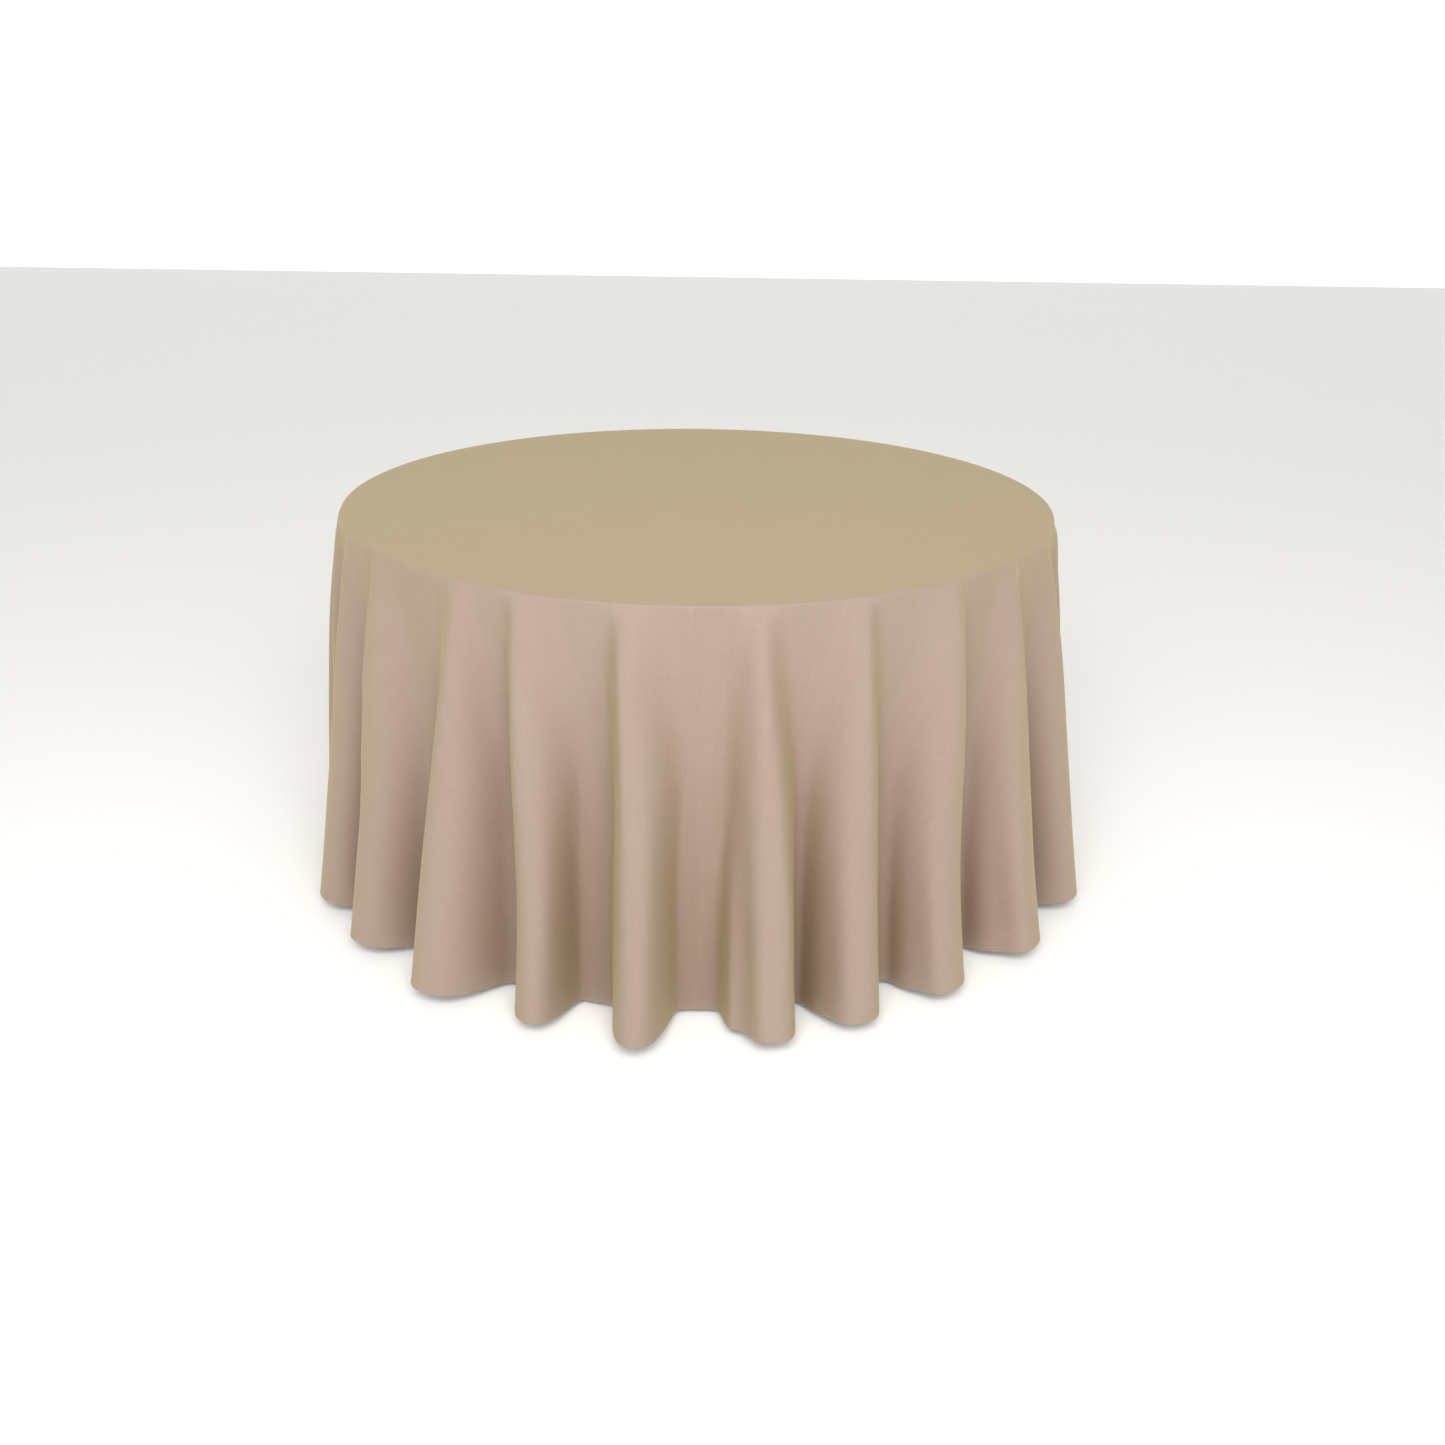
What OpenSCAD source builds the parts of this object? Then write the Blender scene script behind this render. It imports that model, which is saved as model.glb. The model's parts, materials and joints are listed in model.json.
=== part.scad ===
// Round folding banquet table, dressed with a full-length round tablecloth.
// Origin: on the floor, under the middle of the table. Front is -Y.
// The two leg frames fold along X, and the cloth lifts straight off along Z.

/* [Table top] */
// Diameter over the edge moulding
table_diameter = 1524; // [1500:1:1548]
// Height of the top surface above the floor
table_height = 762; // [755:1:769]
// Thickness of the plywood panel
panel_thickness = 18; // [16:1:20]
// Length of the two hardwood runners
runner_length = 1100; // [1060:10:1140]

/* [Leg frames] */
// Distance from the middle to each leg hinge, along X
hinge_x = 470; // [465:1:475]
// Outward slant of the legs
leg_splay = 6; // [5:0.5:7]
// Diameter of the leg tubes
leg_tube_diameter = 28; // [26:0.5:28]
// Half the distance between the legs of the right frame
right_leg_y = 321; // [320:1:330]
// Half the distance between the legs of the left frame
left_leg_y = 276; // [275:1:279]
// Distance along the leg from its hinge to the stretcher
stretcher_at = 190; // [180:1:200]

/* [Tablecloth] */
// Number of folds round the skirt, an even number
fold_count = 30; // [26:2:32]
// How far a fold stands out at the hem, valley to tip
fold_depth = 122; // [90:1:130]
// How far the valleys of the folds stand out at the hem
valley_flare = 60; // [50:1:100]
// Height of the hem above the floor at a valley
hem_height = 12; // [8:1:40]
// How much higher the hem is at a fold's tip
tip_rise = 22; // [0:1:40]
// Thickness of the fabric
fabric_thickness = 0.6; // [0.4:0.1:1]
// Width of the sewn hem
hem_width = 11; // [8:1:16]

/* [Hidden] */

$fn = 64;
eps = 0.5;          // how far a cutting tool runs past the face it opens

panel_bottom = table_height - panel_thickness;

// Edge moulding: a thin band with a tongue pressed into the panel's groove
moulding_t = 3;
moulding_bevel = 1;
tongue_depth = 8;
tongue_t = 2;
table_r = table_diameter / 2;
panel_r = table_r - moulding_t;
tongue_z = table_height - panel_thickness / 2;

// Runners, screwed up into the panel
runner_y = 225;
runner_w = 50;
runner_h = 20;
runner_bottom = panel_bottom - runner_h;
runner_screw_x = [-530, -180, 180, 530];

// Leg tube, in the plane of its frame: s runs down the leg, n points inward
tube_r = leg_tube_diameter / 2;
tube_wall = 1.5;
bar_r = tube_r + 2; // the hinge bar is stouter than the legs welded to it
hinge_gap = 1;      // between the hinge bar and the runners
hinge_z = runner_bottom - bar_r - hinge_gap;
bar_overhang = tube_r;
foot_wall = 3;
foot_grip = 48;     // how far the foot reaches up the leg
foot_sole = 6;      // thickness of the foot under the tube
leg_to_floor = hinge_z / cos(leg_splay);
tube_end = leg_to_floor - foot_sole - tube_r * tan(leg_splay);
plug_lip = 3;
plug_length = 14;

// Stretcher between the two legs of a frame
stretcher_r = 11;

// Saddles that hold the hinge bar under the runners
saddle_w = 40;
saddle_t = 2.5;
saddle_play = 0.3;
saddle_flange = 18;
saddle_screw_x = bar_r + saddle_play + saddle_t + saddle_flange / 2;

// Screws
screw_r = 2;
screw_head_r = 5;
screw_head_h = 2.5;
saddle_screw_l = 14;
runner_screw_l = 26;
runner_recess = 6;
recess_r = 5.5;
bracket_screw_l = 14;

// Brace: an upper and a lower link, straight at rest and folded flat with the leg
brace_x = 160;      // where the upper link hangs from its bracket
lug_reach = 22;     // from the stretcher's centre to the lower link's pivot
brace_z = hinge_z + lug_reach;
link_w = 16;
lower_link_t = 6;
upper_link_t = 4;
link_play = 0.5;
ear_t = 3;
pin_r = 4;
pin_play = 0.1;
rivet_head_r = 7;
rivet_head_h = 3;
boss_r = 9;
boss_half = 10.5;   // half the length of the lower link's knee boss
upper_inner_y = boss_half + link_play;
upper_outer_y = upper_inner_y + upper_link_t;
lug_ear_y = lower_link_t / 2 + link_play;
bracket_ear_y = upper_outer_y + link_play;
bracket_plate = [50, 64, 3];
bracket_ear_r = 10;
bracket_screw_at = [17, 26];

// Pivots in the X-Z plane of the right-hand side
hinge_at = [hinge_x, hinge_z];
down_leg = [sin(leg_splay), -cos(leg_splay)];
inward = [-cos(leg_splay), -sin(leg_splay)];
bracket_at = [brace_x, brace_z];
lug_at = hinge_at + stretcher_at * down_leg + lug_reach * inward;
folded_lug_x = hinge_x - stretcher_at;
brace_span = norm(lug_at - bracket_at);
folded_span = folded_lug_x - brace_x;
upper_link_l = (brace_span + folded_span) / 2;
brace_angle = atan2(lug_at[1] - bracket_at[1], lug_at[0] - bracket_at[0]);
knee_at = bracket_at + upper_link_l * [cos(brace_angle), sin(brace_angle)];

// Cloth: heights and gaps of its middle surface
cloth_gap = 0.3;    // under the cloth, over the table top
cloth_edge_gap = 1.5;
fold_samples = 6;   // points round one fold
fold_open = 0.7;    // below 1 the folds open early on their way down
flare_open = 1.2;   // over 1 the skirt spreads late on its way down
columns = fold_count * fold_samples;
cloth_z = table_height + cloth_gap + fabric_thickness / 2;
cloth_r = table_r + cloth_edge_gap + fabric_thickness / 2;
drop_height = cloth_z - hem_height;
hem_t = 1 - hem_width / drop_height;
drops = [0, 0.012, 0.06, 0.18, 0.4, 0.68, hem_t, 1];
hem_gap = 0.1;
hem_fabric = 2 * fabric_thickness;
stitch_inset = 2;   // from the hem's top down to its stitching
thread_r = 0.35;

// Colours
wood = "burlywood";
hardwood = "peru";
steel = "dimgray";
bright = "silver";
rubber = "black";
cloth = "rosybrown";

// ---- helpers ----

// A solid drawn in X-Z, given a thickness across Y between two distances
module across(y0, y1) {
    translate([0, y1, 0]) rotate([90, 0, 0]) linear_extrude(y1 - y0) children();
}

// The same solid on both sides of the X-Z plane
module both_sides() {
    for (side = [0, 1]) mirror([0, side, 0]) children();
}

// side 1 is the right-hand half, side -1 its mirror image
module on_side(side) {
    mirror([side < 0 ? 1 : 0, 0, 0]) children();
}

module rod_y(at, r, y0, y1) {
    translate([at[0], y1, at[1]]) rotate([90, 0, 0]) cylinder(r = r, h = y1 - y0);
}

// A rod down the leg's own axis, from s0 to s1 below the hinge
module down_rod(y, r, s0, s1) {
    translate([hinge_x, y, hinge_z]) rotate([0, 180 - leg_splay, 0])
        translate([0, 0, s0]) cylinder(r = r, h = s1 - s0);
}

// Outline of a flat link with round ends between two pivots
module link_outline(a, b) {
    turn = atan2(b[1] - a[1], b[0] - a[0]);
    translate(a) rotate(turn) translate([0, -link_w / 2]) square([norm(b - a), link_w]);
    translate(a) circle(d = link_w);
    translate(b) circle(d = link_w);
}

module screw(length) {
    cylinder(r = screw_r, h = length);
    translate([0, 0, -screw_head_h]) cylinder(r = screw_head_r, h = screw_head_h);
}

// ---- where the screws go ----

module at_saddle_screws() {
    for (x = [-hinge_x, hinge_x], y = [-runner_y, runner_y], dx = [-saddle_screw_x, saddle_screw_x])
        translate([x + dx, y, runner_bottom - saddle_t]) children();
}

module at_runner_screws() {
    for (x = runner_screw_x, y = [-runner_y, runner_y])
        translate([x, y, runner_bottom + runner_recess]) children();
}

module at_bracket_screws() {
    for (x = [-brace_x, brace_x], dx = [-1, 1], dy = [-1, 1])
        translate([x + dx * bracket_screw_at[0], dy * bracket_screw_at[1], panel_bottom - bracket_plate[2]])
            children();
}

// ---- table top ----

module tabletop_panel() {
    color(wood) difference() {
        translate([0, 0, panel_bottom]) cylinder(r = panel_r, h = panel_thickness, $fn = 180);
        translate([0, 0, tongue_z - tongue_t / 2]) difference() {
            cylinder(r = panel_r + eps, h = tongue_t, $fn = 180);
            translate([0, 0, -eps]) cylinder(r = panel_r - tongue_depth, h = tongue_t + 2 * eps, $fn = 180);
        }
        at_runner_screws() cylinder(r = screw_r, h = runner_screw_l);
        at_bracket_screws() cylinder(r = screw_r, h = bracket_screw_l);
    }
}

module edge_moulding() {
    color(hardwood) rotate_extrude($fn = 180) polygon([
        [panel_r, panel_bottom],
        [table_r - moulding_bevel, panel_bottom],
        [table_r, panel_bottom + moulding_bevel],
        [table_r, table_height - moulding_bevel],
        [table_r - moulding_bevel, table_height],
        [panel_r, table_height],
        [panel_r, tongue_z + tongue_t / 2],
        [panel_r - tongue_depth, tongue_z + tongue_t / 2],
        [panel_r - tongue_depth, tongue_z - tongue_t / 2],
        [panel_r, tongue_z - tongue_t / 2]
    ]);
}

module runner(y) {
    color(hardwood) difference() {
        translate([-runner_length / 2, y - runner_w / 2, runner_bottom])
            cube([runner_length, runner_w, runner_h]);
        at_runner_screws() {
            cylinder(r = screw_r, h = runner_screw_l);
            translate([0, 0, -runner_recess - eps]) cylinder(r = recess_r, h = runner_recess + eps);
        }
        at_saddle_screws() cylinder(r = screw_r, h = saddle_screw_l);
    }
}

module front_runner() { runner(-runner_y); }
module back_runner() { runner(runner_y); }

// U-strap under the hinge bar, with a flange on each side
module saddle(x, y) {
    inner = bar_r + saddle_play;
    outer = inner + saddle_t;
    rise = runner_bottom - hinge_z;
    color(bright) difference() {
        translate([x, 0, hinge_z]) across(y - saddle_w / 2, y + saddle_w / 2) {
            difference() {
                union() {
                    circle(r = outer);
                    translate([-outer, 0]) square([2 * outer, rise]);
                    translate([-outer - saddle_flange, rise - saddle_t])
                        square([2 * (outer + saddle_flange), saddle_t]);
                }
                circle(r = inner);
                translate([-inner, 0]) square([2 * inner, outer + eps]);
            }
        }
        at_saddle_screws() translate([0, 0, -eps]) cylinder(r = screw_r, h = saddle_screw_l);
    }
}

module right_front_saddle() { saddle(hinge_x, -runner_y); }
module right_back_saddle() { saddle(hinge_x, runner_y); }
module left_front_saddle() { saddle(-hinge_x, -runner_y); }
module left_back_saddle() { saddle(-hinge_x, runner_y); }

// Base plate with two ears that carry the upper link's pin
module brace_bracket(side) {
    plate_bottom = panel_bottom - bracket_plate[2];
    color(bright) difference() {
        on_side(side) {
            translate([brace_x - bracket_plate[0] / 2, -bracket_plate[1] / 2, plate_bottom])
                cube(bracket_plate);
            both_sides() across(bracket_ear_y, bracket_ear_y + ear_t) difference() {
                union() {
                    translate(bracket_at) circle(r = bracket_ear_r);
                    translate([brace_x - bracket_ear_r, brace_z])
                        square([2 * bracket_ear_r, plate_bottom - brace_z]);
                }
                translate(bracket_at) circle(r = pin_r);
            }
        }
        at_bracket_screws() translate([0, 0, -eps]) cylinder(r = screw_r, h = bracket_screw_l);
    }
}

module right_brace_bracket() { brace_bracket(1); }
module left_brace_bracket() { brace_bracket(-1); }

module bracket_pin(side) {
    reach = bracket_ear_y + ear_t;
    color(steel) on_side(side) {
        rod_y(bracket_at, pin_r, -reach, reach);
        both_sides() rod_y(bracket_at, rivet_head_r, reach, reach + rivet_head_h);
    }
}

module right_bracket_pin() { bracket_pin(1); }
module left_bracket_pin() { bracket_pin(-1); }

module saddle_screws() { color(bright) at_saddle_screws() screw(saddle_screw_l); }
module runner_screws() { color(bright) at_runner_screws() screw(runner_screw_l); }
module bracket_screws() { color(bright) at_bracket_screws() screw(bracket_screw_l); }

// ---- leg frames ----

// The leg's top is shaped to the hinge bar that it is welded to
module leg(side, y) {
    color(steel) on_side(side) difference() {
        down_rod(y, tube_r, 0, tube_end);
        down_rod(y, tube_r - tube_wall, -eps, tube_end + eps);
        rod_y(hinge_at, bar_r, y - 2 * tube_r, y + 2 * tube_r);
    }
}

module hinge_bar(side, leg_y) {
    reach = leg_y + bar_overhang;
    color(steel) on_side(side) difference() {
        rod_y(hinge_at, bar_r, -reach, reach);
        rod_y(hinge_at, bar_r - tube_wall, -reach - eps, reach + eps);
    }
}

module end_plugs(side, leg_y) {
    reach = leg_y + bar_overhang;
    color(rubber) on_side(side) both_sides() {
        rod_y(hinge_at, bar_r, reach, reach + plug_lip);
        rod_y(hinge_at, bar_r - tube_wall, reach - plug_length, reach);
    }
}

module stretcher(side, leg_y) {
    at = hinge_at + stretcher_at * down_leg;
    color(steel) on_side(side) difference() {
        rod_y(at, stretcher_r, -leg_y, leg_y);
        rod_y(at, stretcher_r - tube_wall, -leg_y - eps, leg_y + eps);
        for (y = [-leg_y, leg_y])
            down_rod(y, tube_r, stretcher_at - 2 * stretcher_r, stretcher_at + 2 * stretcher_r);
    }
}

// Two ears on the stretcher, for the lower link's pin
module brace_lug(side) {
    at = hinge_at + stretcher_at * down_leg;
    color(steel) on_side(side) both_sides() across(lug_ear_y, lug_ear_y + ear_t) difference() {
        union() {
            translate(lug_at) circle(r = boss_r);
            translate(at) rotate(180 + leg_splay) translate([0, -boss_r]) square([lug_reach, 2 * boss_r]);
        }
        translate(at) circle(r = stretcher_r);
        translate(lug_at) circle(r = pin_r);
    }
}

module lug_pin(side) {
    reach = lug_ear_y + ear_t;
    color(bright) on_side(side) {
        rod_y(lug_at, pin_r, -reach, reach);
        both_sides() rod_y(lug_at, rivet_head_r, reach, reach + rivet_head_h);
    }
}

// Cap over the end of the leg, cut level with the floor
module foot(side, y) {
    color(rubber) on_side(side) difference() {
        down_rod(y, tube_r + foot_wall, tube_end - foot_grip, leg_to_floor + tube_r);
        down_rod(y, tube_r, tube_end - foot_grip - eps, tube_end);
        translate([hinge_x, y - table_r / 2, -2 * tube_r]) cube([table_r, table_r, 2 * tube_r]);
    }
}

module right_front_leg() { leg(1, -right_leg_y); }
module right_back_leg() { leg(1, right_leg_y); }
module right_hinge_bar() { hinge_bar(1, right_leg_y); }
module right_stretcher() { stretcher(1, right_leg_y); }
module right_brace_lug() { brace_lug(1); }
module right_lug_pin() { lug_pin(1); }
module right_front_foot() { foot(1, -right_leg_y); }
module right_back_foot() { foot(1, right_leg_y); }
module right_end_plugs() { end_plugs(1, right_leg_y); }

module left_front_leg() { leg(-1, -left_leg_y); }
module left_back_leg() { leg(-1, left_leg_y); }
module left_hinge_bar() { hinge_bar(-1, left_leg_y); }
module left_stretcher() { stretcher(-1, left_leg_y); }
module left_brace_lug() { brace_lug(-1); }
module left_lug_pin() { lug_pin(-1); }
module left_front_foot() { foot(-1, -left_leg_y); }
module left_back_foot() { foot(-1, left_leg_y); }
module left_end_plugs() { end_plugs(-1, left_leg_y); }

// ---- braces ----

// Pair of flat bars from the bracket to the knee
module upper_brace(side) {
    color(bright) on_side(side) both_sides() across(upper_inner_y, upper_outer_y) difference() {
        link_outline(bracket_at, knee_at);
        translate(bracket_at) circle(r = pin_r + pin_play);
        translate(knee_at) circle(r = pin_r);
    }
}

// The knee pivot, one short rivet in each bar of the upper link
module knee_rivets(side) {
    color(bright) on_side(side) both_sides() {
        rod_y(knee_at, pin_r, upper_inner_y, upper_outer_y);
        rod_y(knee_at, rivet_head_r, upper_outer_y, upper_outer_y + rivet_head_h);
    }
}

// Single bar from the knee to the stretcher, with a boss at the knee
module lower_brace(side) {
    half = lower_link_t / 2;
    color(bright) on_side(side) difference() {
        union() {
            across(-half, half) link_outline(knee_at, lug_at);
            rod_y(knee_at, boss_r, -boss_half, boss_half);
        }
        rod_y(knee_at, pin_r + pin_play, -boss_half - eps, boss_half + eps);
        rod_y(lug_at, pin_r + pin_play, -half - eps, half + eps);
    }
}

module right_upper_brace() { upper_brace(1); }
module right_knee_rivets() { knee_rivets(1); }
module right_lower_brace() { lower_brace(1); }
module left_upper_brace() { upper_brace(-1); }
module left_knee_rivets() { knee_rivets(-1); }
module left_lower_brace() { lower_brace(-1); }

// ---- tablecloth ----

// t is 0 at the table's rim and 1 at the hem; a is the angle round the table
function fold_wave(a) = (1 + cos(fold_count * a)) / 2;
function fold_reach(t) = fold_depth * pow(t, fold_open);
function skirt_r(t, a) = cloth_r + valley_flare * pow(t, flare_open) + fold_reach(t) * fold_wave(a);
function skirt_slope(t, a) = -fold_reach(t) * fold_count / 2 * sin(fold_count * a);
function skirt_z(t, a) = cloth_z - t * (drop_height - tip_rise * fold_wave(a));

// A point on the skirt, moved off its middle surface along the level normal
function skirt_point(t, a, off) =
    let (r = skirt_r(t, a), slope = skirt_slope(t, a), l = norm([r, slope]))
    let (out = r + off * r / l, along = -off * slope / l)
    [out * cos(a) - along * sin(a), out * sin(a) + along * cos(a), skirt_z(t, a)];

function ring(t, off, lift = 0) =
    [for (i = [0 : columns - 1]) skirt_point(t, 360 * i / columns, off) + [0, 0, lift]];

function flatten(lists) = [for (list = lists, item = list) item];

// Triangles between ring k and ring m. Going up, each pair is split along the same line as going down,
// so that the two faces of the fabric stay parallel.
function band(k, m, up = false) =
    [for (i = [0 : columns - 1]) let (j = (i + 1) % columns, a = k * columns, b = m * columns)
        each up ? [[a + i, a + j, b + j], [a + i, b + j, b + i]]
                : [[a + i, a + j, b + i], [a + j, b + j, b + i]]];

module tablecloth() {
    half = fabric_thickness / 2;
    rows = len(drops);
    outer = [for (t = drops) ring(t, half, t == 0 ? half : 0)];
    inner = [for (k = [rows - 1 : -1 : 0]) ring(drops[k], -half, k == 0 ? -half : 0)];
    last = 2 * rows - 1;
    faces = concat(
        [[for (i = [columns - 1 : -1 : 0]) i]],
        flatten([for (k = [0 : last - 1]) band(k, k + 1, k >= rows)]),
        [[for (i = [0 : columns - 1]) last * columns + i]]
    );
    color(cloth) polyhedron(points = flatten(concat(outer, inner)), faces = faces, convexity = 20);
}

// A closed strip round the skirt between two heights and two offsets
module skirt_strip(t0, t1, off0, off1) {
    rings = [ring(t0, off1), ring(t1, off1), ring(t1, off0), ring(t0, off0)];
    faces = flatten([for (k = [0 : 3]) band(k, (k + 1) % 4, k == 2)]);
    polyhedron(points = flatten(rings), faces = faces, convexity = 20);
}

// The turned-up edge, on the inside of the skirt
module hem() {
    back = -fabric_thickness / 2 - hem_gap;
    color(cloth) skirt_strip(hem_t, 1, back - hem_fabric, back);
}

// The line of thread that holds the hem
module hem_stitching() {
    t = 1 - (hem_width - stitch_inset) / drop_height;
    face = fabric_thickness / 2 + hem_gap;
    half = thread_r / drop_height;
    color("tan") skirt_strip(t - half, t + half, face, face + 2 * thread_r);
}

tabletop_panel();
edge_moulding();
front_runner();
back_runner();
right_front_saddle();
right_back_saddle();
left_front_saddle();
left_back_saddle();
right_brace_bracket();
left_brace_bracket();
right_bracket_pin();
left_bracket_pin();
saddle_screws();
runner_screws();
bracket_screws();
right_front_leg();
right_back_leg();
right_hinge_bar();
right_stretcher();
right_brace_lug();
right_lug_pin();
right_front_foot();
right_back_foot();
right_end_plugs();
left_front_leg();
left_back_leg();
left_hinge_bar();
left_stretcher();
left_brace_lug();
left_lug_pin();
left_front_foot();
left_back_foot();
left_end_plugs();
right_upper_brace();
right_knee_rivets();
right_lower_brace();
left_upper_brace();
left_knee_rivets();
left_lower_brace();
tablecloth();
hem();
hem_stitching();
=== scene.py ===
"""Looks for the tablecloth on a table: the draped cloth, its hem, and materials for the table under it."""
import json
import math

import bpy
import numpy as np
from mathutils import Matrix, Vector


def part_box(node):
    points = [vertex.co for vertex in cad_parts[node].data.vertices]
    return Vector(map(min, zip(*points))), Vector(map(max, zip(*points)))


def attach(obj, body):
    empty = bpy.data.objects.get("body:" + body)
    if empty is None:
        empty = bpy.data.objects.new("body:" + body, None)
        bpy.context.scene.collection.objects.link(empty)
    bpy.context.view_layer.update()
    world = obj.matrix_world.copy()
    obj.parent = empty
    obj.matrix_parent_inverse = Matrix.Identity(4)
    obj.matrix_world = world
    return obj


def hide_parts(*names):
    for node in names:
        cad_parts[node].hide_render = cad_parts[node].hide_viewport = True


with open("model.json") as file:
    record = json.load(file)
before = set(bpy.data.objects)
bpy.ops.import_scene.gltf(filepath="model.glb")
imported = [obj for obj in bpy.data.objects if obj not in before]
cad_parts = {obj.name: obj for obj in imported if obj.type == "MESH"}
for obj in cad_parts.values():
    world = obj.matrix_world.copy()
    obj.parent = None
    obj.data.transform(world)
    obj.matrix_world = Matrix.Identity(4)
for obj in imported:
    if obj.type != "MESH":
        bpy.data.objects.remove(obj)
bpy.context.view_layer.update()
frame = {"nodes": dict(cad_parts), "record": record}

# ---------------------------------------------------------------- sizes, in metres

TABLE_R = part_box("edge_moulding")[1].x
CLOTH_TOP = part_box("tablecloth")[1].z

FABRIC = 0.0005           # its thickness
EDGE_R = 0.0035           # how tightly it turns over the table's edge
RIM_R = TABLE_R + 0.0018  # its middle surface, just under the rim
DROP = 0.751              # along the cloth, from the rim to the hem

TOP_RINGS = 25            # over the flat top
MIDDLE_R = 0.01           # the first of them, which one face fills
EDGE_RINGS = 5            # round the table's edge
BODY_RINGS = 83           # down the drop as far as the hem
COLUMNS = 480             # points in each ring of the skirt while it settles
ROWS = 42                 # faces from the rim to the hem while it settles
SETTLE_FRAMES = 12
EVEN_OUT = 12             # passes that take the ripples out of how it moves as it settles

HEM_W = 0.011
HEM_TUCK = 0.003          # folded in out of sight at the hem's upper edge
HEM_PUFF = 0.0004         # how much the turned-up edge swells the cloth's face
STITCH_UP = 0.0095        # the stitches' height above the edge
STITCH_PITCH = 0.004
STITCH_L = 0.003
STITCH_DIP = 0.0008       # how far either side of the stitches the cloth is pulled in
THREAD_R = 0.0003

# Down the cloth's face over the hem: the height above the edge, and how much of the puff it has there.
HEM_FACE = [
    (HEM_W + HEM_TUCK, 0), (HEM_W, 1),
    (STITCH_UP + STITCH_DIP, 0.8), (STITCH_UP, 0.2), (STITCH_UP - STITCH_DIP, 0.8),
    (0.005, 1), (0.001, 0.8), (0, 0),
]
# Down the strip that is turned up inside: the height above the edge, and the thickness.
HEM_STRIP = [
    (HEM_W + 0.001, 0.0003), (HEM_W * 0.75, 0.0010), (STITCH_UP * 0.5, 0.0011), (0.0015, 0.0010),
    (0.0006, 0.0003),
]
STRIP_GAP = 0.00002       # between the cloth and the strip

# ---------------------------------------------------------------- the folds

# Degrees round the table from the front, positive to the right. Each line is one fold: where its left
# valley leaves the rim, where that valley's cloth comes from at the hem and where it hangs there, where
# the ridge leaves the rim and where it hangs at the hem, how wide the valley's floor is, and how much of
# a step the left flank has, from 0 to 1.
FRONT_FOLDS = [
    (-63.5, -63.2, -62.5, -60.0, -57.0, 0.5, 0.0),
    (-52.0, -50.6, -50.0, -48.3, -46.0, 1.5, 0.0),
    (-37.4, -38.6, -38.4, -31.6, -32.6, 2.2, 0.2),
    (-25.8, -24.6, -24.2, -22.6, -18.4, 0.8, 0.0),
    (-13.0, -14.0, -14.6, -8.9, -6.8, 3.6, 0.0),
    (0.4, -0.2, -2.2, 7.4, 9.0, 4.4, 1.0),
    (12.6, 14.2, 12.2, 20.6, 18.6, 0.5, 0.3),
    (23.8, 25.4, 23.4, 34.6, 30.2, 1.5, 0.4),
    (38.4, 37.4, 36.6, 47.0, 44.0, 1.5, 0.5),
    (51.2, 50.8, 50.2, 60.5, 57.2, 1.0, 0.0),
]
FOLDS = 30
UNSEEN_FROM = 64.6        # degrees, where the folds that the photo doesn't show begin
UNEVEN = 0.16             # how much those differ in width
ACROSS = 65               # points across a fold while its shape is worked out
REACH_MAX = 0.3           # metres, further than any fold stands out
FLARE_FRONT = 0.084       # metres, how far the valleys stand out at the hem, at the front
FLARE_REST = 0.018        # and elsewhere
FLARE_CURVE = 1.15        # over 1, the valleys stay closer to the table at first
FLARE_END = 85            # degrees from the front, where the front's flare has faded out
FLARE_FADE = 40           # degrees that it takes to fade
CROWN = 0.5               # over 0, the ridges have broad crowns and steep flanks at the hem
NARROW = 1.6              # over 0, they start as narrow creases at the rim
OPENING = 0.12            # over 0, the folds open more slowly than the flat cloth would
STEP_AT = 0.33            # how far up a left flank its step is


def fold_lines():
    """The columns of FRONT_FOLDS, carried on round the table, with angles in radians."""
    front = np.array(FRONT_FOLDS)
    others = FOLDS - len(front)
    random = np.random.default_rng(3)
    end = front[0, 0] + 360
    widths = 1 + UNEVEN * random.uniform(-1, 1, others)
    before = np.concatenate([[0], np.cumsum(widths)[:-1]])
    starts = UNSEEN_FROM + before / widths.sum() * (end - UNSEEN_FROM)
    span = np.diff(np.append(starts, end))
    lean = random.uniform(-1.6, 1.6, others)
    ridge = starts + span * random.uniform(0.35, 0.65, others)
    rest = [starts, starts, starts + lean, ridge, ridge + random.uniform(-1.5, 1.5, others),
            random.uniform(0, 2, others), random.uniform(0, 0.7, others)]
    lines = np.concatenate([front, np.stack(rest, axis=1)]).T
    return [*np.radians(lines[:6]), lines[6]]


def smooth(x):
    """0 below 0, 1 above 1, and an S-shaped rise between."""
    x = np.clip(x, 0, 1)
    return x * x * (3 - 2 * x)


def wave(u, t, top, floor, step):
    """How a fold stands out at u, from 0 to 1 across its width: 0 along its valley floor and at its
    end, and 1 at its ridge, which is at top. t is 0 at the rim and 1 at the hem."""
    rise = np.clip((u - floor) / (top - floor), 0, 1)
    turn = 4 * np.pi
    rise = rise - step * (np.sin(turn * (rise - STEP_AT)) + math.sin(turn * STEP_AT)) / turn
    v = np.where(u < top, 0.5 * rise, 0.5 + 0.5 * (u - top) / (1 - top))
    v = v + CROWN * smooth(1.6 * t) * np.sin(2 * np.pi * v) / (2 * np.pi)
    return (0.5 - 0.5 * np.cos(2 * np.pi * v)) ** (1 + NARROW * (1 - smooth(2.2 * t)))


def gaps(angles):
    """From each angle to the next one round the table."""
    return np.diff(np.append(angles, angles[0] + 2 * np.pi))


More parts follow.
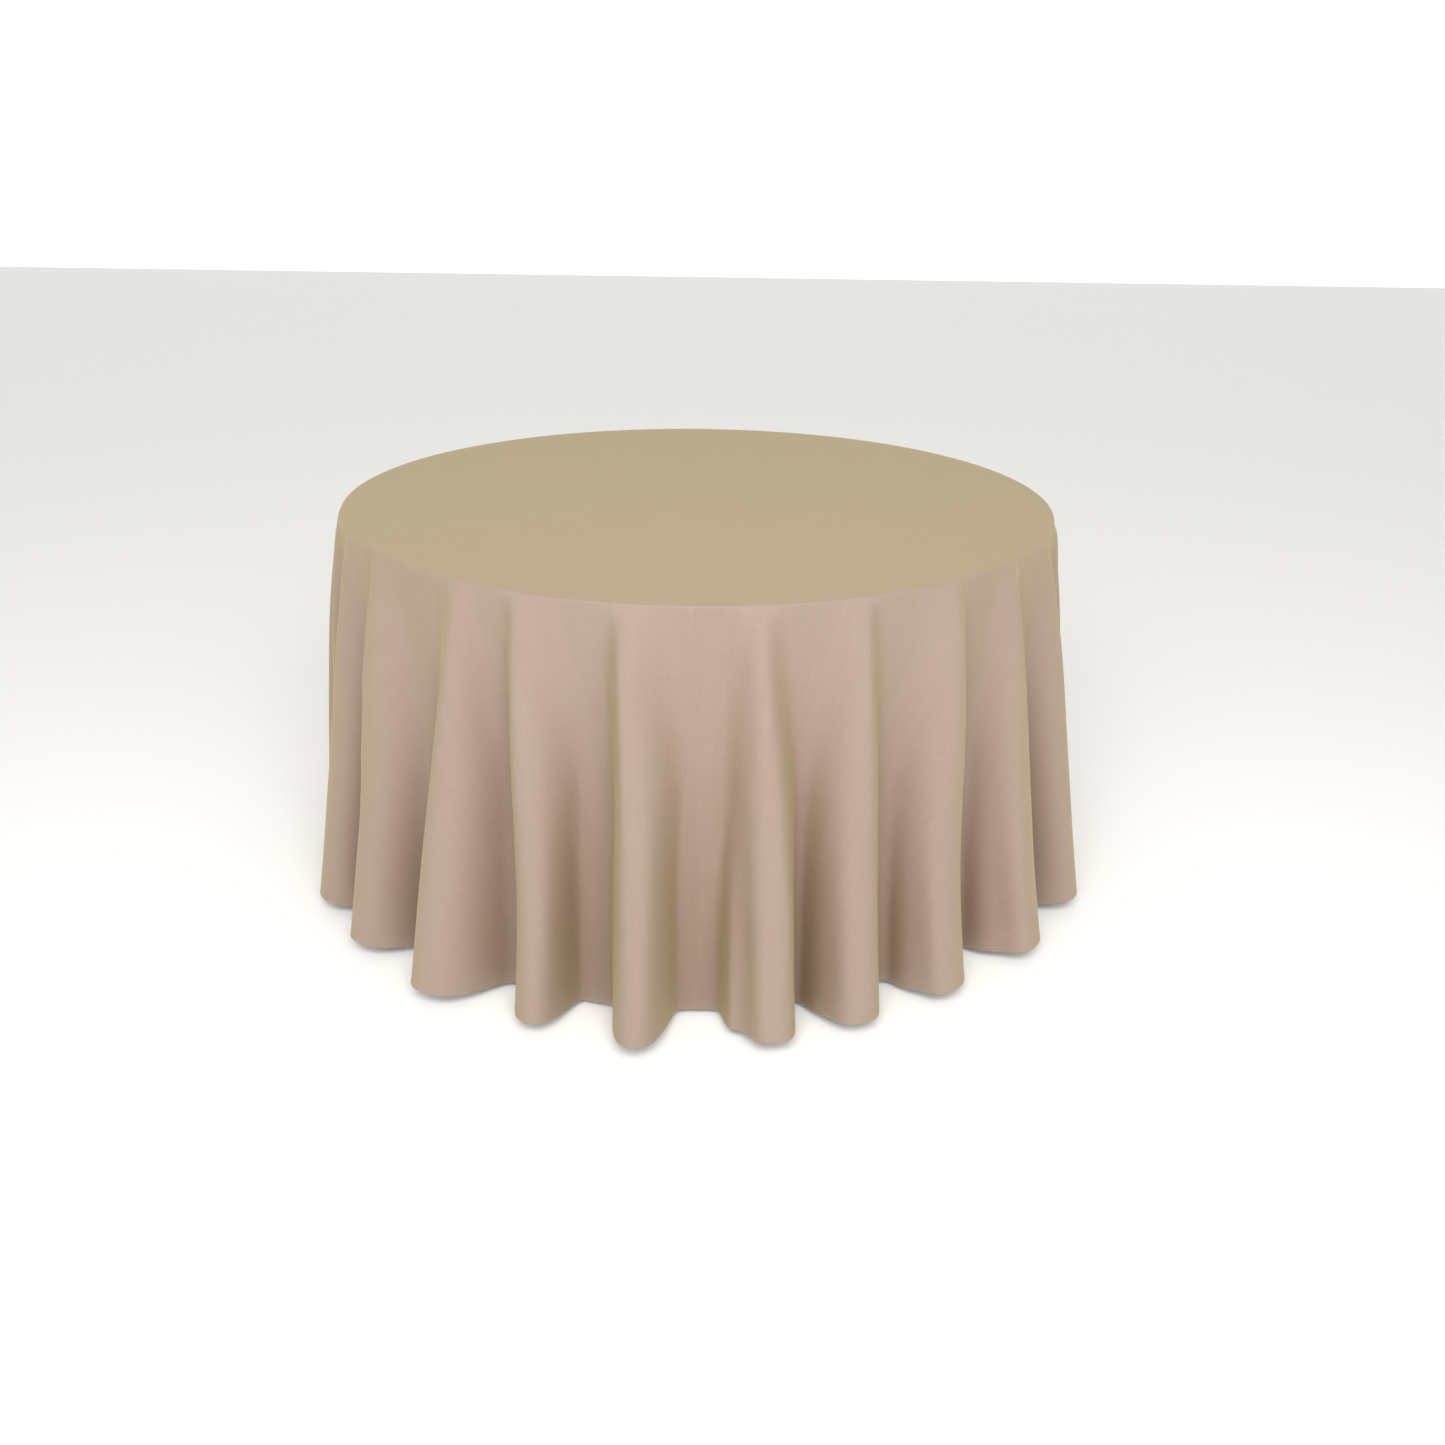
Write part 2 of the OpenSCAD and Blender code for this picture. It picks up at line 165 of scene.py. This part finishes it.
def skirt_row(s, lines):
    """Where each column of the cloth is, in plan, at distance s below the rim. Each fold stands out
    as far as it needs to take up its share of the cloth's length round the table."""
    t = s / DROP
    rim_valley, cut_valley, hem_valley, rim_ridge, hem_ridge, floor, step = lines

    # Where the folds lie at this height. They have reached their places some way above the hem.
    cloth_valley = rim_valley + (cut_valley - rim_valley) * smooth(1.4 * t)
    share = gaps(cloth_valley)
    valley = rim_valley + (hem_valley - rim_valley) * smooth(1.4 * t)
    ridge = rim_ridge + (hem_ridge - rim_ridge) * smooth(1.2 * t)
    width = gaps(valley)

    # Each fold's shape across its width, which is 1 at its ridge, and the wall that it stands out from.
    top = np.clip((ridge - valley) / width, 0.15, 0.85)
    flat = np.clip(floor / width, 0, top - 0.1) * smooth(2 * t)
    u = np.linspace(0, 1, ACROSS)
    shape = np.stack([wave(u, t, *fold) for fold in zip(top, flat, step * smooth(1.5 * t - 0.5))])
    angle = valley[:, None] + width[:, None] * u
    from_front = np.abs((angle + np.pi) % (2 * np.pi) - np.pi)
    front = smooth((math.radians(FLARE_END) - from_front) / math.radians(FLARE_FADE))
    flare = FLARE_REST + (FLARE_FRONT - FLARE_REST) * front
    base = RIM_R + flare * t ** FLARE_CURVE

    # How far each fold reaches out, found by halving.
    need = (RIM_R + s * t ** OPENING) * share
    low, high = np.zeros(FOLDS), np.full(FOLDS, REACH_MAX)
    for _ in range(30):
        reach = (low + high) / 2
        r = base + reach[:, None] * shape
        x, y = r * np.sin(angle), -r * np.cos(angle)
        lengths = np.hypot(np.diff(x), np.diff(y))
        short = lengths.sum(axis=1) < need
        low, high = np.where(short, reach, low), np.where(short, high, reach)

    # The columns are even along the cloth, not round the table.
    along = np.cumsum(lengths, axis=1) / lengths.sum(axis=1)[:, None]
    along = np.concatenate([np.zeros((FOLDS, 1)), along[:, :-1]], axis=1)
    material = (cloth_valley[:, None] + share[:, None] * along).ravel()
    columns = column_angles()
    places = [np.interp(columns, material, v[:, :-1].ravel(), period=2 * np.pi) for v in (x, y)]
    return np.stack(places, axis=1)


def column_angles(count=COLUMNS):
    """Where each column of the cloth would be if it lay flat."""
    return math.radians(FRONT_FOLDS[0][0]) + 2 * np.pi * np.arange(count) / count


def radial(angles, r, z):
    """A ring of points at radius r and height z."""
    return np.stack([r * np.sin(angles), -r * np.cos(angles), z + 0 * angles], axis=1)


def drape():
    """The skirt's middle surface before it settles: ROWS + 1 rings of COLUMNS points, from the rim down."""
    lines = fold_lines()
    s = DROP * np.linspace(0, 1, ROWS + 1)
    plan = np.stack([skirt_row(k, lines) for k in s])
    across = (np.diff(plan, axis=0) ** 2).sum(axis=2)
    fall = np.sqrt(np.maximum((s[1] - s[0]) ** 2 - across, 0))
    z = CLOTH_TOP - EDGE_R - np.concatenate([np.zeros((1, COLUMNS)), np.cumsum(fall, axis=0)])
    return np.concatenate([plan, z[:, :, None]], axis=2)


def grid_faces(rings, columns):
    """Quads between the rings of a closed band, top ring first, facing out."""
    k, i = np.meshgrid(np.arange(rings - 1), np.arange(columns), indexing="ij")
    j = (i + 1) % columns
    quads = [k * columns + i, (k + 1) * columns + i, (k + 1) * columns + j, k * columns + j]
    return np.stack([q.ravel() for q in quads], axis=1)


def mesh_object(name, points, faces):
    """A smooth-shaded object in the scene."""
    mesh = bpy.data.meshes.new(name)
    mesh.from_pydata(np.asarray(points, float).tolist(), [], [list(map(int, f)) for f in faces])
    mesh.update()
    mesh.polygons.foreach_set("use_smooth", np.ones(len(mesh.polygons), bool))
    thing = bpy.data.objects.new(name, mesh)
    bpy.context.scene.collection.objects.link(thing)
    return thing


def settle(skirt):
    """The skirt after Blender's cloth solver has let it hang from the rim for a moment. Its rest
    shape is the flat ring that it was cut from, so it buckles where the folds don't suit the cloth."""
    angles = column_angles()
    flat = np.concatenate([radial(angles, RIM_R + s, CLOTH_TOP) for s in DROP * np.linspace(0, 1, ROWS + 1)])
    thing = mesh_object("settling", skirt.reshape(-1, 3), grid_faces(ROWS + 1, COLUMNS))
    thing.shape_key_add(name="draped")
    key = thing.shape_key_add(name="flat", from_mix=False)
    key.data.foreach_set("co", flat.ravel().astype(np.float32))
    key.value = 0
    thing.vertex_groups.new(name="rim").add(list(range(COLUMNS)), 1, "ADD")
    solver = thing.modifiers.new("cloth", "CLOTH")
    solver.point_cache.frame_start, solver.point_cache.frame_end = 1, SETTLE_FRAMES
    solver.collision_settings.use_collision = False
    settings = solver.settings
    settings.rest_shape_key = key
    settings.vertex_group_mass = "rim"
    settings.quality = 7
    settings.mass = 0.02
    settings.tension_stiffness = settings.compression_stiffness = 60
    settings.shear_stiffness = 8
    settings.bending_stiffness = 0.05
    settings.air_damping = 5
    for number in range(1, SETTLE_FRAMES + 1):
        bpy.context.scene.frame_set(number)
    settled = thing.evaluated_get(bpy.context.evaluated_depsgraph_get()).data
    points = np.zeros(len(settled.vertices) * 3, np.float32)
    settled.vertices.foreach_get("co", points)
    bpy.context.scene.frame_set(1)
    bpy.data.objects.remove(thing)
    moved = points.reshape(skirt.shape) - skirt
    for _ in range(EVEN_OUT):
        moved = (np.roll(moved, 1, axis=1) + 2 * moved + np.roll(moved, -1, axis=1)) / 4
        moved[1:-1] = (moved[:-2] + 2 * moved[1:-1] + moved[2:]) / 4
    return skirt + moved


def halfway(a, b, c, d):
    """The point between b and c on a smooth curve through four evenly spaced points."""
    return (9 * (b + c) - (a + d)) / 16


def finer(grid):
    """Twice the columns and twice the rows, on smooth curves through the points."""
    behind, ahead, further = (np.roll(grid, k, axis=1) for k in (1, -1, -2))
    wide = np.empty((grid.shape[0], 2 * grid.shape[1], 3))
    wide[:, 0::2] = grid
    wide[:, 1::2] = halfway(behind, grid, ahead, further)
    padded = np.concatenate([2 * wide[:1] - wide[1:2], wide, 2 * wide[-1:] - wide[-2:-1]])
    tall = np.empty((2 * len(wide) - 1, wide.shape[1], 3))
    tall[0::2] = wide
    tall[1::2] = halfway(padded[:-3], padded[1:-2], padded[2:-1], padded[3:])
    return tall


def keep_clear(grid):
    """The same points, but none nearer to the table's middle than the rim."""
    r = np.hypot(grid[..., 0], grid[..., 1])
    out = grid.copy()
    out[..., :2] *= (np.maximum(r, RIM_R) / r)[..., None]
    return out


def rings_at(grid, drops):
    """Rings of the skirt at the given distances below the rim."""
    rows = np.asarray(drops) / DROP * (len(grid) - 1)
    low = np.clip(np.floor(rows).astype(int), 0, len(grid) - 2)
    part = (rows - low)[:, None, None]
    return grid[low] * (1 - part) + grid[low + 1] * part


def normals(grid):
    """Unit vectors out of the surface, for rings from the middle to the hem."""
    around = np.roll(grid, -1, axis=1) - np.roll(grid, 1, axis=1)
    down = np.gradient(grid, axis=0)
    n = np.cross(down, around)
    return n / np.linalg.norm(n, axis=2, keepdims=True)


def shell(outer, inner):
    """One closed band of rings: down the outside and back up the inside."""
    return np.concatenate([outer, inner[::-1]])


# ---------------------------------------------------------------- cloth, hem and stitches

def top_and_edge(skirt):
    """Rings of the cloth's middle surface, over the table top and round its edge to the skirt."""
    angles = column_angles(skirt.shape[1])
    middle = CLOTH_TOP - FABRIC / 2
    flat_r = RIM_R - EDGE_R
    radii = flat_r - (flat_r - MIDDLE_R) * np.linspace(1, 0, TOP_RINGS) ** 1.5
    rings = [radial(angles, r, middle) for r in radii]
    slope = np.arctan2(np.hypot(skirt[2, :, 0], skirt[2, :, 1]) - RIM_R, skirt[0, :, 2] - skirt[2, :, 2])
    for number in range(1, EDGE_RINGS + 1):
        turn = number / EDGE_RINGS * (np.pi / 2 - np.maximum(slope, 0))
        r = flat_r + EDGE_R * np.sin(turn)
        rings.append(radial(angles, r, middle - EDGE_R * (1 - np.cos(turn))))
    return np.array(rings)


def make_cloth(skirt):
    """The whole sheet as a thin closed shell, with its flat pattern kept as a UV map in metres."""
    heights, puff = np.array(HEM_FACE).T
    body_drops = np.linspace(0, DROP - HEM_W - 2 * HEM_TUCK, BODY_RINGS + 1)[1:]
    drops = np.concatenate([body_drops, DROP - heights])
    top = top_and_edge(skirt)
    grid = np.concatenate([top, rings_at(skirt, drops)])
    n = normals(grid)
    swell = np.concatenate([np.zeros(len(top) + BODY_RINGS), HEM_PUFF * puff])[:, None, None]
    outer, inner = grid + n * (FABRIC / 2 + swell), grid - n * FABRIC / 2
    columns = grid.shape[1]
    points = shell(outer, inner)
    faces = grid_faces(len(points), columns).tolist()
    faces += [list(range(columns)), [(len(points) - 1) * columns + i for i in reversed(range(columns))]]
    cloth = mesh_object("cloth", points.reshape(-1, 3), faces)
    along = np.concatenate([np.hypot(top[:, 0, 0], top[:, 0, 1]), RIM_R + drops])
    along = np.concatenate([along, along[::-1]])
    angles = column_angles(columns)
    flat = np.stack([np.sin(angles), -np.cos(angles)], axis=1)
    pattern = (along[:, None, None] * flat).reshape(-1, 2)
    corners = np.zeros(len(cloth.data.loops), np.int32)
    cloth.data.loops.foreach_get("vertex_index", corners)
    cloth.data.uv_layers.new(name="pattern").data.foreach_set("uv", pattern[corners].ravel())
    return cloth


def make_hem(skirt):
    """The edge turned up twice, as a soft strip on the inside of the skirt."""
    heights, thick = np.array(HEM_STRIP).T
    rings = rings_at(skirt, DROP - heights)
    n = normals(rings)
    near = rings - n * (FABRIC / 2 + STRIP_GAP)
    points = shell(near, near - n * thick[:, None, None])
    # One more row of faces than a shell has, wrapped back to the first ring, closes the strip.
    faces = grid_faces(len(points) + 1, rings.shape[1]) % (len(points) * rings.shape[1])
    return mesh_object("turned_hem", points.reshape(-1, 3), faces)


def make_stitches(skirt):
    """A line of short stitches through the hem, seen on both faces of the cloth."""
    rings = rings_at(skirt, [DROP - STITCH_UP - 0.002, DROP - STITCH_UP])
    n = normals(rings)[1]
    line = rings[1]
    closed = np.concatenate([line, line[:1]])
    length = np.concatenate([[0], np.cumsum(np.linalg.norm(np.diff(closed, axis=0), axis=1))])
    count = int(length[-1] / STITCH_PITCH)
    place = (np.arange(count) + 0.5) / count * length[-1]

    def at(values, where):
        """The values, given for each column, at distances along the line."""
        values = np.concatenate([values, values[:1]])
        return np.stack([np.interp(where, length, values[:, k]) for k in range(3)], axis=1)

    # On the cloth's face, down in the dip, and on the inside, on the turned-up strip.
    on_face, on_strip = FABRIC / 2 + 0.2 * HEM_PUFF, -FABRIC / 2 - 0.0009
    points, faces = [], []
    for offset in (on_face, on_strip):
        middle, out = at(line, place), at(n, place)
        ends = [at(line + n * offset, place + k * STITCH_L / 2) for k in (-1, 1)]
        middle = middle + out * (offset + math.copysign(THREAD_R * 0.5, offset))
        side = np.cross(out, ends[1] - ends[0])
        side /= np.linalg.norm(side, axis=1, keepdims=True)
        ring = [middle + THREAD_R * v for v in (out, side, -out, -side)]
        block = np.stack([ends[0], *ring, ends[1]], axis=1).reshape(-1, 3)
        start = sum(len(p) for p in points)
        points.append(block)
        for first in range(start, start + len(block), 6):
            for k in range(4):
                a, b = first + 1 + k, first + 1 + (k + 1) % 4
                faces += [(first, b, a), (first + 5, a, b)]
    return mesh_object("hem_stitches", np.concatenate(points), faces)


# ---------------------------------------------------------------- materials

def material(name, colour, roughness, **more):
    """A material with its Principled shader's own sockets set."""
    made = bpy.data.materials.new(name)
    made.use_nodes = True
    shader = made.node_tree.nodes["Principled BSDF"]
    shader.inputs["Base Color"].default_value = (*colour, 1)
    shader.inputs["Roughness"].default_value = roughness
    for socket, value in more.items():
        shader.inputs[socket.replace("_", " ")].default_value = value
    return made, made.node_tree, shader


def add(tree, kind, inputs=(), **settings):
    """A new node, with each input set to a value or linked from another node's output."""
    node = tree.nodes.new(kind)
    for key, value in settings.items():
        setattr(node, key, value)
    for socket, value in dict(inputs).items():
        if isinstance(value, bpy.types.NodeSocket):
            tree.links.new(value, node.inputs[socket])
        else:
            node.inputs[socket].default_value = value
    return node


def stretched(tree, coordinates, scale):
    """The coordinates scaled on each axis. A pattern is drawn out along an axis scaled below 1."""
    return add(tree, "ShaderNodeMapping", {0: coordinates, 3: scale}).outputs[0]


def noise(tree, vector, scale, detail=2.0, roughness=0.5):
    sockets = {"Vector": vector, "Scale": scale, "Detail": detail, "Roughness": roughness}
    return add(tree, "ShaderNodeTexNoise", sockets).outputs["Fac"]


def blend_colours(tree, factor, low, high, start=0.0, end=1.0):
    """From the low colour, where the factor is start, to the high one, where it is end."""
    ramp = add(tree, "ShaderNodeValToRGB", {0: factor})
    ramp.color_ramp.elements[0].position, ramp.color_ramp.elements[0].color = start, (*low, 1)
    ramp.color_ramp.elements[1].position, ramp.color_ramp.elements[1].color = end, (*high, 1)
    return ramp.outputs[0]


def calculate(tree, operation, a, b):
    return add(tree, "ShaderNodeMath", {0: a, 1: b}, operation=operation).outputs[0]


def remapped(tree, value, first, last, start=0.0, end=1.0):
    """From first, where the value is start, to last, where it is end."""
    sockets = {0: value, 1: start, 2: end, 3: first, 4: last}
    return add(tree, "ShaderNodeMapRange", sockets).outputs[0]


def weighted(tree, *pairs):
    """The sum of each value times its weight."""
    total = 0.0
    for value, weight in pairs:
        total = calculate(tree, "ADD", calculate(tree, "MULTIPLY", value, weight), total)
    return total


def multiplied(tree, colour, other):
    sockets = {0: 1.0, 6: colour, 7: other}
    return add(tree, "ShaderNodeMix", sockets, data_type="RGBA", blend_type="MULTIPLY").outputs[2]


def bump(tree, shader, height, distance, strength=1.0):
    """Gives the shader a surface relief, distance metres high for a height of 1."""
    made = add(tree, "ShaderNodeBump", {"Height": height, "Distance": distance, "Strength": strength})
    tree.links.new(made.outputs[0], shader.inputs["Normal"])


def polyester():
    """Plain-weave polyester: threads both ways along the flat pattern, faint slubs and a soft sheen. Its
    colour also has painted shade: darker and browner where ambient occlusion finds the folds' valleys, a
    little lighter on open ridges.
    """
    made, tree, shader = material("taupe_polyester", (0.207, 0.156, 0.130), 0.72,
                                  Sheen_Weight=0.34, Sheen_Roughness=0.57, Sheen_Tint=(0.64, 0.57, 0.2, 1),
                                  Specular_IOR_Level=0.28)
    pattern = add(tree, "ShaderNodeUVMap", uv_map="pattern").outputs[0]
    warp = noise(tree, stretched(tree, pattern, (1, 0.02, 1)), 420, 3)
    weft = noise(tree, stretched(tree, pattern, (0.02, 1, 1)), 420, 3)
    streaks = noise(tree, stretched(tree, pattern, (1, 0.04, 1)), 75, 3)
    slubs = weighted(tree, (warp, 0.4), (weft, 0.4), (streaks, 0.2))
    patches = noise(tree, pattern, 2.2, 3)
    tone = blend_colours(tree, slubs, (0.194, 0.145, 0.119), (0.214, 0.160, 0.132), 0.38, 0.62)
    warm = blend_colours(tree, patches, (0.985, 1.0, 0.985), (1.0, 0.985, 0.985), 0.35, 0.65)
    # Painted shade: an ambient occlusion node darkens and browns the base colour deep in the folds and
    # lightens it slightly on open ridges.
    occlusion_for_painted_shade = add(tree, "ShaderNodeAmbientOcclusion", {"Distance": 0.25}, samples=6, only_local=True)
    painted_fold_shade = blend_colours(tree, occlusion_for_painted_shade.outputs["AO"], (0.58, 0.45, 0.39), (1.04, 1.04, 1.06), 0.3, 0.95)
    tree.links.new(multiplied(tree, multiplied(tree, tone, warm), painted_fold_shade), shader.inputs["Base Color"])
    threads = [
        add(tree, "ShaderNodeTexWave", {"Vector": pattern, "Scale": 210.0, "Distortion": 0.4, "Detail": 1.0},
            wave_type="BANDS", bands_direction=way).outputs["Fac"]
        for way in ("X", "Y")
    ]
    weave = calculate(tree, "MULTIPLY", threads[0], threads[1])
    tree.links.new(remapped(tree, slubs, 0.66, 0.80, 0.3, 0.7), shader.inputs["Roughness"])
    bump(tree, shader, weighted(tree, (weave, 1.0), (slubs, 1.5)), 0.0002, 0.6)
    return made


def thread():
    """The hem's brown sewing thread, finely varied as its twist shows."""
    made, tree, shader = material("hem_thread", (0.26, 0.18, 0.12), 0.6, Sheen_Weight=0.3)
    place = add(tree, "ShaderNodeTexCoord").outputs["Object"]
    twist = noise(tree, place, 900)
    colour = blend_colours(tree, twist, (0.20, 0.135, 0.09), (0.33, 0.24, 0.17))
    tree.links.new(colour, shader.inputs["Base Color"])
    bump(tree, shader, twist, 0.0001)
    return made


def wood(name, dark, light, along, rough, figure=9.0):
    """Long-grained wood: along is how far the grain is drawn out on each axis."""
    made, tree, shader = material(name, light, rough, Coat_Weight=0.15, Coat_Roughness=0.3)
    place = add(tree, "ShaderNodeTexCoord").outputs["Object"]
    broad = noise(tree, stretched(tree, place, along), figure, 4, 0.6)
    rings = add(tree, "ShaderNodeTexWave", {"Vector": stretched(tree, place, along), "Scale": figure * 0.8,
                                           "Distortion": 7.0, "Detail": 3.0, "Detail Scale": 1.2},
                wave_type="BANDS", bands_direction="Y").outputs["Fac"]
    pores = noise(tree, stretched(tree, place, along), figure * 40, 3, 0.7)
    grain = weighted(tree, (rings, 0.35), (broad, 0.5), (pores, 0.25))
    tree.links.new(blend_colours(tree, grain, dark, light, 0.3, 0.8), shader.inputs["Base Color"])
    tree.links.new(remapped(tree, pores, rough + 0.1, rough - 0.1), shader.inputs["Roughness"])
    bump(tree, shader, pores, 0.0003, 0.5)
    return made


def metal(name, colour, worn, rough, metallic, speckle=900):
    """Painted or plated steel, with fine grain, and scuffs that show the layer under it."""
    made, tree, shader = material(name, colour, rough, Metallic=metallic)
    place = add(tree, "ShaderNodeTexCoord").outputs["Object"]
    skin = noise(tree, place, speckle, 2)
    scuffs = noise(tree, place, 38, 6, 0.7)
    tree.links.new(blend_colours(tree, scuffs, colour, worn, 0.62, 0.74), shader.inputs["Base Color"])
    mixed = calculate(tree, "ADD", calculate(tree, "MULTIPLY", scuffs, 0.25), rough - 0.12)
    tree.links.new(mixed, shader.inputs["Roughness"])
    bump(tree, shader, skin, 0.0002, 0.4)
    return made


def moulded(name, dark, light, rough):
    """Rubber or plastic with a fine moulded grain and a little dust."""
    made, tree, shader = material(name, dark, rough)
    place = add(tree, "ShaderNodeTexCoord").outputs["Object"]
    dust = noise(tree, place, 30, 5, 0.65)
    grain = noise(tree, place, 1400, 2)
    tree.links.new(blend_colours(tree, dust, dark, light, 0.45, 0.8), shader.inputs["Base Color"])
    tree.links.new(remapped(tree, dust, rough - 0.08, rough + 0.1), shader.inputs["Roughness"])
    bump(tree, shader, grain, 0.0002, 0.5)
    return made


def dress_table():
    """Gives each visible CAD node of the table the material of its slot."""
    looks = {
        "plywood": wood("plywood", (0.36, 0.21, 0.10), (0.66, 0.47, 0.28), (0.12, 1, 1), 0.5),
        "hardwood": wood("hardwood", (0.24, 0.12, 0.055), (0.46, 0.27, 0.13), (0.07, 1, 1), 0.45, 22.0),
        "edge_vinyl": moulded("edge_vinyl", (0.030, 0.018, 0.012), (0.075, 0.052, 0.04), 0.5),
        "leg_steel": metal("leg_steel", (0.085, 0.088, 0.092), (0.20, 0.19, 0.18), 0.42, 0.0),
        "zinc_steel": metal("zinc_steel", (0.62, 0.62, 0.60), (0.40, 0.39, 0.36), 0.34, 1.0, 400),
        "foot_rubber": moulded("foot_rubber", (0.014, 0.014, 0.014), (0.06, 0.055, 0.05), 0.78),
        "plug_plastic": moulded("plug_plastic", (0.020, 0.020, 0.021), (0.05, 0.048, 0.045), 0.55),
    }
    for part in frame["record"]["subparts"]:
        if part["material_slot"] in looks:
            slots = frame["nodes"][part["node"]].data.materials
            slots.clear()
            slots.append(looks[part["material_slot"]])


# ---------------------------------------------------------------- camera, floor and lights

def camera():
    """The photo's viewpoint: 1.3 m up, 2.2 m in front of the table's middle, looking down at it."""
    data = bpy.data.cameras.new("camera")
    data.sensor_width = 36
    data.lens = 24.77
    pitch, yaw, roll = (math.radians(a) for a in (26.41, 1.51, 0.92))
    forward = Vector((math.sin(yaw) * math.cos(pitch), math.cos(yaw) * math.cos(pitch), -math.sin(pitch)))
    right = forward.cross(Vector((0, 0, 1))).normalized()
    up = right.cross(forward)
    tilted_right = right * math.cos(roll) + up * math.sin(roll)
    tilted_up = -right * math.sin(roll) + up * math.cos(roll)
    axes = Matrix((tilted_right, tilted_up, -forward)).transposed().to_4x4()
    seen = bpy.data.objects.new("camera", data)
    seen.matrix_world = Matrix.Translation((0, -2.230, 1.289)) @ axes
    bpy.context.scene.collection.objects.link(seen)
    bpy.context.scene.camera = seen


def area_light(name, place, aim, size, power, colour):
    """A soft rectangular lamp at a place, aimed at another."""
    data = bpy.data.lights.new(name, "AREA")
    data.shape = "RECTANGLE"
    data.size, data.size_y = size
    data.energy = power
    data.color = colour
    lamp = bpy.data.objects.new(name, data)
    lamp.location = place
    lamp.rotation_euler = (Vector(aim) - Vector(place)).to_track_quat("-Z", "Y").to_euler()
    bpy.context.scene.collection.objects.link(lamp)


def studio():
    """A pale floor, surroundings that glow most from in front, and two soft lamps in front."""
    reach = 30
    corners = [(-reach, -reach, 0), (reach, -reach, 0), (reach, reach, 0), (-reach, reach, 0)]
    floor = mesh_object("floor", corners, [(0, 1, 2, 3)])
    floor.data.materials.append(material("floor", (0.72, 0.72, 0.715), 0.9)[0])
    world = bpy.data.worlds.new("studio")
    world.use_nodes = True
    tree, back = world.node_tree, world.node_tree.nodes["Background"]
    back.inputs["Color"].default_value = (1, 0.99, 0.975, 1)
    toward = add(tree, "ShaderNodeSeparateXYZ", {0: add(tree, "ShaderNodeTexCoord").outputs["Generated"]})
    # The backdrop itself is plain white from every side. These glows, in front, behind and overhead,
    # only light the object.
    brightest = add(tree, "ShaderNodeLightPath").outputs["Is Camera Ray"]
    for axis, start, end, first, last in (
        ("Y", -0.9, -0.1, 3.3, 0.1),
        ("Y", 0.4, 0.8, 0.1, 1.3),
        ("Z", 0.3, 1.0, 0.1, 0.6),
    ):
        glow = remapped(tree, toward.outputs[axis], first, last, start, end)
        brightest = calculate(tree, "MAXIMUM", brightest, glow)
    tree.links.new(brightest, back.inputs["Strength"])
    bpy.context.scene.world = world
    area_light("key", (0, -3.4, 2.9), (0, -0.3, 0.5), (4, 2.4), 45, (1, 0.97, 0.95))
    area_light("near", (0, -2.4, 2.6), (0, -0.5, 0.7), (2, 1), 52, (1, 0.97, 0.93))
    bpy.context.scene.view_settings.view_transform = "Standard"


# ---------------------------------------------------------------- the whole

camera()
studio()
dress_table()

skirt = drape()
skirt = settle(skirt)
skirt = keep_clear(finer(skirt))

cloth = make_cloth(skirt)
hem = make_hem(skirt)
stitches = make_stitches(skirt)
fabric = polyester()
cloth.data.materials.append(fabric)
hem.data.materials.append(fabric)
stitches.data.materials.append(thread())
for piece, node, finish in (
    (cloth, "tablecloth", "taupe_polyester"),
    (hem, "hem", "taupe_polyester"),
    (stitches, "hem_stitching", "hem_thread"),
):
    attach(piece, "cloth")
    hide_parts(node)
